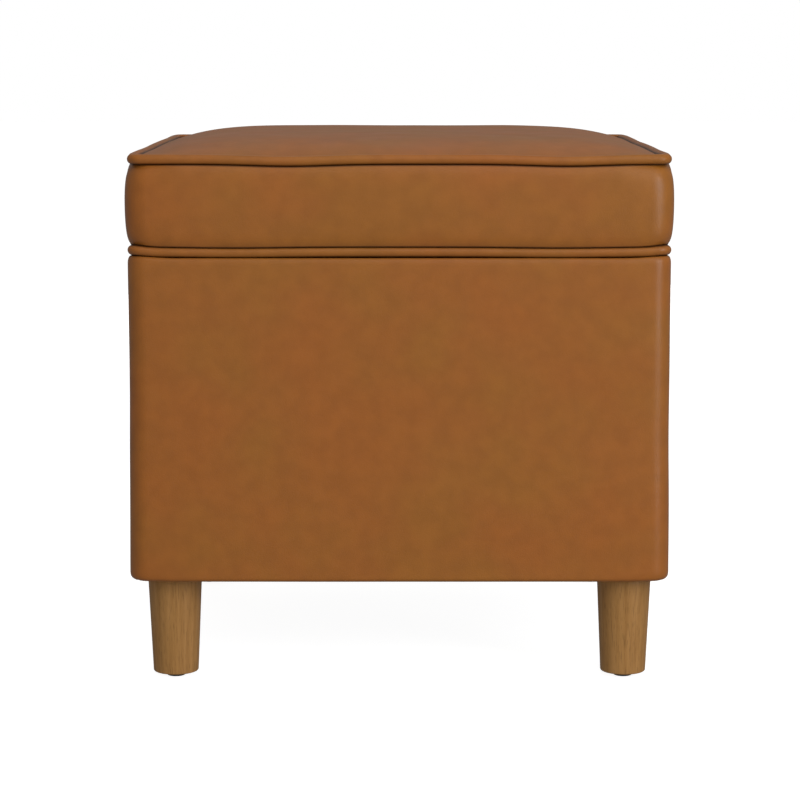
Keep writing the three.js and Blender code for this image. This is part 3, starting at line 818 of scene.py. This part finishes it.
def inflate(item, border, pressure, frames, cap):
    """Fills a pinned panel by cloth simulation, then keeps each point within cap of where it began."""
    start = [vertex.co.copy() for vertex in item.data.vertices]
    pinned = item.vertex_groups.new(name="seam")
    pinned.add(border, 1.0, "REPLACE")
    cloth = add_modifier(item, "CLOTH")
    settings = cloth.settings
    settings.quality = 6
    settings.mass = 0.4
    settings.tension_stiffness = 25
    settings.compression_stiffness = 25
    settings.shear_stiffness = 10
    settings.bending_stiffness = 2
    settings.use_pressure = True
    settings.uniform_pressure_force = pressure
    settings.vertex_group_mass = "seam"
    settings.effector_weights.gravity = 0
    cloth.collision_settings.use_collision = False
    cloth.point_cache.frame_start = 1
    cloth.point_cache.frame_end = frames
    scene = bpy.context.scene
    for step in range(1, frames + 1):
        scene.frame_set(step)
    shaped = item.evaluated_get(bpy.context.evaluated_depsgraph_get())
    moved = [vertex.co.copy() for vertex in shaped.data.vertices]
    item.modifiers.remove(cloth)
    scene.frame_set(1)
    for vertex, old, new in zip(item.data.vertices, start, moved):
        move = new - old
        if move.length > cap:
            move.length = cap
        vertex.co = old + move
    item.vertex_groups.clear()
    item.data.update()


def lid_top():
    """The crowned top panel: simulated from slack, then raised most of the way to the foam's crown."""
    half = WELT_HALF - WELT_RADIUS + 0.0004

    def slack_height(x, y):
        room = 1 - max(abs(x), abs(y)) / half
        return crown_height(x, y) - CUSHION_SLACK * smoothstep(0, 0.14, room)

    vertices, faces, border = cushion_grid(half, slack_height)
    item = make_object("lid_top_panel", vertices, faces)
    inflate(item, border, pressure=4.0, frames=20, cap=CUSHION_SLACK)
    for vertex in item.data.vertices:
        point = vertex.co
        rim = half - max(abs(point.x), abs(point.y))
        gap = crown_height(point.x, point.y) - point.z
        point.z += FOAM_FIRMNESS * max(gap, 0)
        point.z += top_wander(point) * (1 - smoothstep(0, 0.045, rim))
        point.z += 0.0004 * drift(point, 0.05, 9) * smoothstep(0, 0.03, rim)
    rims = [half - max(abs(vertex.co.x), abs(vertex.co.y)) for vertex in item.data.vertices]
    # Painted shade along the panel's rim, where it meets the upper welt.
    paint_seam_shade(item, [0.9 * (1 - smoothstep(0.0010, 0.0030, rim)) for rim in rims])
    add_modifier(item, "SOLIDIFY", thickness=LEATHER, offset=-1.0)
    add_modifier(item, "SUBSURF", levels=1, render_levels=1)
    return item


def lid_foam():
    """The foam block under the leather: bulging sides, an eased shoulder and a domed top."""
    inset = LEATHER + 0.0009
    shoulder = band_high.z - 0.0040
    outline = [(0.03, foam_low.z)]
    outline += run(outline[-1], (band_half(foam_low.z) - inset, foam_low.z), 8)
    for step in range(1, 13):
        z = foam_low.z + (shoulder - foam_low.z) * step / 12
        outline.append((band_half(z) - inset, z))
    edge = WELT_HALF - WELT_RADIUS - 0.0020
    outline.append((edge + 0.0010, shoulder + 0.0012))
    outline += [(edge * (1 - step / 13), foam_high.z) for step in range(13)]

    def shape(point):
        if point.z > foam_high.z - 0.0001:
            point.z = crown_height(point.x, point.y) - LEATHER - FOAM_GAP + top_wander(point)
            return point
        return band_shape(point)

    return swept("seat_foam_block", outline, band_high.x - BAND_CORNER, shape)


# Legs

def leg(name, node):
    low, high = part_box(node)
    centre = ((low.x + high.x) / 2, (low.y + high.y) / 2)
    top_radius = (high.x - low.x) / 2
    edge = LEG_FOOT_EDGE
    outline = [(0, low.z), (0.004, low.z), (LEG_FOOT_RADIUS - edge, low.z)]
    outline += arc((LEG_FOOT_RADIUS - edge, low.z + edge), edge, -90, 0, 6)[1:]
    outline += run(outline[-1], (top_radius, high.z - 0.0006), 18)
    outline += [(top_radius - 0.0006, high.z), (0, high.z)]
    return turned(name, outline, centre)


def glide(name, node):
    low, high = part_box(node)
    centre = ((low.x + high.x) / 2, (low.y + high.y) / 2)
    radius = (high.x - low.x) / 2
    edge = GLIDE_EDGE
    outline = [(0, low.z), (0.0022, low.z), (0.0026, low.z + 0.0004), (0.0032, low.z)]
    outline += [(radius - edge, low.z)]
    outline += arc((radius - edge, low.z + edge), edge, -90, 0, 5)[1:]
    outline += [(radius, high.z), (0, high.z)]
    return turned(name, outline, centre, sides=48)


# Steel fittings

def bar_parts(start, end, width, thick, up):
    """A small rectangular bar between two points as (vertices, faces)."""
    along = (end - start).normalized()
    across = along.cross(up).normalized() * width / 2
    rise = up.normalized() * thick / 2
    vertices = [p + a + r for p in (start, end) for a in (-across, across) for r in (-rise, rise)]
    faces = [(0, 1, 3, 2), (4, 6, 7, 5), (0, 4, 5, 1), (2, 3, 7, 6), (0, 2, 6, 4), (1, 5, 7, 3)]
    return vertices, faces


def staples(name, places, level):
    """Staple crowns at (x, y, angle) places on a face that looks down, each sunk a little into the cloth."""
    parts = []
    outward = Vector((0, 0, -1))
    for x, y, angle in places:
        along = Vector((math.cos(angle), math.sin(angle), 0)) * STAPLE_LENGTH / 2
        centre = Vector((x, y, level)) + outward * STAPLE_WIRE * 0.1
        crown = bar_parts(centre - along, centre + along, STAPLE_WIRE * 1.2, STAPLE_WIRE * 0.6, outward)
        parts.append(crown)
    return joined(name, parts)


def rim_places(half, spacing, skip=lambda x, y: False):
    """Places and angles along the four sides of a square, slightly irregular as hand stapling is."""
    places = []
    count = round(2 * half / spacing)
    for side in range(4):
        for step in range(count):
            along = -half + 2 * half * (step + 0.5) / count
            jitter = drift((along * 3, side, 0), 0.02, 10)
            out = half + 0.0012 * jitter
            x, y = [(along, -out), (out, along), (along, out), (-out, along)][side]
            angle = (0 if side % 2 == 0 else math.pi / 2) + 0.16 * jitter
            if not skip(x, y):
                places.append((x, y, angle))
    return places


def near_leg(x, y):
    low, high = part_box("leg_front_right")
    reach = (high.x - low.x) / 2 + 0.008
    centre = (low.x + high.x) / 2
    return math.hypot(abs(x) - centre, abs(y) - centre) < reach


PAN_HEAD = [(1.0, 0.0), (1.0, 0.0006), (0.86, 0.0012), (0.6, 0.0015), (0.36, 0.0016)]
COUNTERSUNK = [(0.02, -0.013), (0.5, -0.0115), (0.5, -0.0020), (0.98, -0.0001), (0.94, 0.0), (0.4, 0.0)]


def cross_screw(name, centre, axis, radius, profile):
    """A screw facing along axis; profile gives (share of radius, rise) from its far end to its recess."""
    sides = 32
    quarter = sides // 4
    recess_floor = profile[-1][1] - 0.0010
    vertices, faces = [], []

    def place(share, side, rise):
        angle = 2 * math.pi * side / sides
        vertices.append(Vector((radius * share * math.cos(angle), radius * share * math.sin(angle), rise)))

    for share, rise in profile:
        for side in range(sides):
            place(share, side, rise)
    for side in range(sides):
        in_slot = side % quarter in (0, 1, quarter - 1)
        place(0.34 if in_slot else 0.12, side, recess_floor)
    for row in range(len(profile)):
        for side in range(sides):
            ahead = (side + 1) % sides
            below, above = row * sides, (row + 1) * sides
            faces.append((below + side, below + ahead, above + ahead, above + side))
    faces.append(tuple(len(profile) * sides + side for side in range(sides)))
    faces.append(tuple(reversed(range(sides))))
    turn = Vector((0, 0, 1)).rotation_difference(Vector(axis)).to_matrix()
    placed = [turn @ vertex + Vector(centre) for vertex in vertices]
    return make_object(name, placed, faces, smooth=False)


def hinge_screw(name, node, up):
    """A countersunk screw flush in its hinge leaf, where the CAD screw is."""
    low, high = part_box(node)
    centre = ((low.x + high.x) / 2, (low.y + high.y) / 2, high.z if up else low.z)
    return cross_screw(name, centre, (0, 0, 1 if up else -1), (high.x - low.x) / 2, COUNTERSUNK)


def rivet_head(name, node):
    """A smooth domed rivet from head to head where the CAD rivet is."""
    low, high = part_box(node)
    centre = (low + high) / 2
    radius = (high.y - low.y) / 2
    shank = radius * 0.58
    dome = [(0, 0), (0.55, 0), (0.9, 0.35), (1, 0.8), (1, 1)]
    outline = [(radius * share, low.x + RIVET_HEAD * rise) for share, rise in dome]
    outline += [(shank, low.x + RIVET_HEAD), (shank, high.x - RIVET_HEAD)]
    outline += [(radius * share, high.x - RIVET_HEAD * rise) for share, rise in reversed(dome)]
    item = turned(name, outline, (0, 0), sides=32)
    to_x = Matrix(((0, 0, 1, 0), (1, 0, 0, centre.y), (0, 1, 0, centre.z), (0, 0, 0, 1)))
    item.data.transform(to_x)
    return item


# Assembly: the box

settle(body_cover(), "box", leather, "leather", "body_cover")

for side in ("front", "rear", "left", "right"):
    pad = wall_pad(f"{side}_wadding", f"{side}_pad")
    settle(pad, "box", wadding, "wadding", f"{side}_pad")

lining = settle(well_lining(), "box", nonwoven, "black_cloth", "well_lining")

dust = flat_cloth("underside_dust_cover", dust_low, dust_high, seed=11)
settle(dust, "box", nonwoven, "black_cloth", "dust_cover")

underside = staples(
    "underside_staples",
    rim_places(dust_high.x - 0.006, 0.030, skip=near_leg),
    body_low.z + 0.0003,
)
settle(underside, "box", dark_steel, "steel")

for corner in CORNERS:
    settle(leg(f"oak_leg_{corner}", f"leg_{corner}"), "box", oak, "leg_wood", f"leg_{corner}")
    settle(glide(f"leg_glide_{corner}", f"glide_{corner}"), "box", glide_plastic, "glide", f"glide_{corner}")

# Assembly: the lid

top = settle(lid_top(), "lid", leather, "leather", "lid_top_cover")
boxing = settle(lid_band(), "lid", leather, "leather", "lid_band")
upper_piping = welt("lid_upper_piping", TOP_WELT_Z, top_wander, TOP_WELT_EASE)
settle(upper_piping, "lid", leather, "leather", "lid_top_welt")
lower_piping = welt("lid_lower_piping", LOW_WELT_Z, low_wander, LOW_WELT_EASE)
settle(lower_piping, "lid", leather, "leather", "lid_bottom_welt")
block = settle(lid_foam(), "lid", foam, "foam", "lid_foam")
cloth_under = flat_cloth("lid_underside_cloth", underlining_low, underlining_high, seed=12, sag=0.0002)
settle(cloth_under, "lid", nonwoven, "black_cloth", "lid_underlining")
lid_staples = staples(
    "lid_underside_staples",
    rim_places(underlining_high.x - 0.007, 0.033),
    underlining_low.z,
)
settle(lid_staples, "lid", dark_steel, "steel")

# Assembly: the fittings

for node, body in (("stay_wall_rivet", "box"), ("stay_knee_rivet", "stay_lower"), ("stay_lid_rivet", "lid")):
    settle(rivet_head(f"{node}_domed", node), body, zinc, "steel", node)

for body in ("box", "lid"):
    for side in ("left", "right"):
        for end in ("inner", "outer"):
            node = f"{body}_screw_{side}_{end}"
            hinge = hinge_screw(f"{body}_hinge_screw_{side}_{end}", node, up=body == "box")
            settle(hinge, body, zinc, "steel", node)

bracket_low, bracket_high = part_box("stay_wall_bracket")
for end, way in (("front", -1), ("rear", 1)):
    place = (
        bracket_high.x - BRACKET_STEEL,
        (bracket_low.y + bracket_high.y) / 2 + way * 0.006,
        bracket_low.z + 0.008,
    )
    wall_screw = cross_screw(f"stay_wall_screw_{end}", place, (-1, 0, 0), BRACKET_SCREW_RADIUS, PAN_HEAD)
    settle(wall_screw, "box", zinc, "steel")

bracket_low, bracket_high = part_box("stay_lid_bracket")
for end, way in (("front", -1), ("rear", 1)):
    place = (
        bracket_low.x + 0.0055,
        (bracket_low.y + bracket_high.y) / 2 + way * 0.010,
        bracket_high.z - BRACKET_STEEL,
    )
    lid_screw = cross_screw(f"stay_lid_screw_{end}", place, (0, 0, -1), BRACKET_SCREW_RADIUS, PAN_HEAD)
    settle(lid_screw, "lid", zinc, "steel")

for name, item in frame["nodes"].items():
    if item.hide_render:
        continue
    is_board = name.endswith("board") or name.startswith("corner_block")
    item.data.materials.clear()
    item.data.materials.append(plywood if is_board else zinc)
    edge = BOARD_EDGE if is_board else STEEL_EDGE
    if name in ("front_board", "rear_board"):
        edge = ROUNDED_BOARD_EDGE
    add_modifier(item, "BEVEL", width=edge, segments=2, limit_method="ANGLE")


# Stage, lights and camera

CAMERA_LENS = 114.64
CAMERA_PLACE = (0, -2.2115, 0.5136)
CAMERA_PITCH = 8.06
CAMERA_YAW = -0.013


def area_light(name, azimuth, elevation, distance, size, energy, mirrored=True):
    """A softbox aimed at the object, in degrees to the right of the front and above level."""
    data = bpy.data.lights.new(name, "AREA")
    data.shape = "RECTANGLE"
    data.size, data.size_y = size
    data.energy = energy
    turn, rise = math.radians(azimuth), math.radians(elevation)
    away = Vector((math.cos(rise) * math.sin(turn), -math.cos(rise) * math.cos(turn), math.sin(rise)))
    lamp = bpy.data.objects.new(name, data)
    lamp.location = Vector((0, 0, 0.25)) + away * distance
    lamp.rotation_euler = (-away).to_track_quat("-Z", "Y").to_euler()
    lamp.visible_camera = False
    lamp.visible_glossy = mirrored
    bpy.context.scene.collection.objects.link(lamp)


def stage():
    reach = 14.0
    corners = [(-reach, -reach, 0), (reach, -reach, 0), (reach, reach, 0), (-reach, reach, 0)]
    floor = make_object("studio_floor", corners, [(0, 1, 2, 3)])
    floor.data.materials.append(floor_material())
    floor.visible_diffuse = False
    floor.visible_glossy = False
    bpy.ops.mesh.primitive_uv_sphere_add(segments=48, ring_count=24, radius=reach)
    dome = bpy.context.object
    dome.name = "studio_backdrop"
    dome.data.materials.append(backdrop_material())
    dome.visible_diffuse = False
    dome.visible_glossy = False
    dome.visible_transmission = False
    dome.visible_shadow = False


def world(strength):
    scene_world = bpy.data.worlds.new("studio_world")
    scene_world.use_nodes = True
    background = scene_world.node_tree.nodes["Background"]
    background.inputs["Color"].default_value = (1, 1, 1, 1)
    background.inputs["Strength"].default_value = strength
    bpy.context.scene.world = scene_world


def camera():
    data = bpy.data.cameras.new("camera")
    data.lens = CAMERA_LENS
    data.sensor_width = 36.0
    data.clip_start, data.clip_end = 0.05, 60.0
    eye = bpy.data.objects.new("camera", data)
    eye.location = CAMERA_PLACE
    eye.rotation_euler = (math.radians(90 - CAMERA_PITCH), 0, math.radians(CAMERA_YAW))
    bpy.context.scene.collection.objects.link(eye)
    bpy.context.scene.camera = eye


stage()
world(0.22)
area_light("key_softbox", azimuth=22, elevation=38, distance=3.4, size=(3.0, 2.6), energy=57, mirrored=False)
area_light("side_strip", azimuth=46, elevation=10, distance=2.2, size=(0.65, 1.1), energy=10)
area_light("back_fill", azimuth=190, elevation=0, distance=3.0, size=(2.4, 1.2), energy=22, mirrored=False)
area_light("low_fill", azimuth=-6, elevation=-3, distance=3.0, size=(2.4, 0.3), energy=14, mirrored=False)
area_light("rear_softbox", azimuth=180, elevation=45, distance=3.2, size=(3.0, 2.0), energy=2.5)
area_light("top_softbox", azimuth=0, elevation=86, distance=2.2, size=(1.4, 1.4), energy=8, mirrored=False)
camera()
bpy.context.scene.view_settings.view_transform = "Standard"
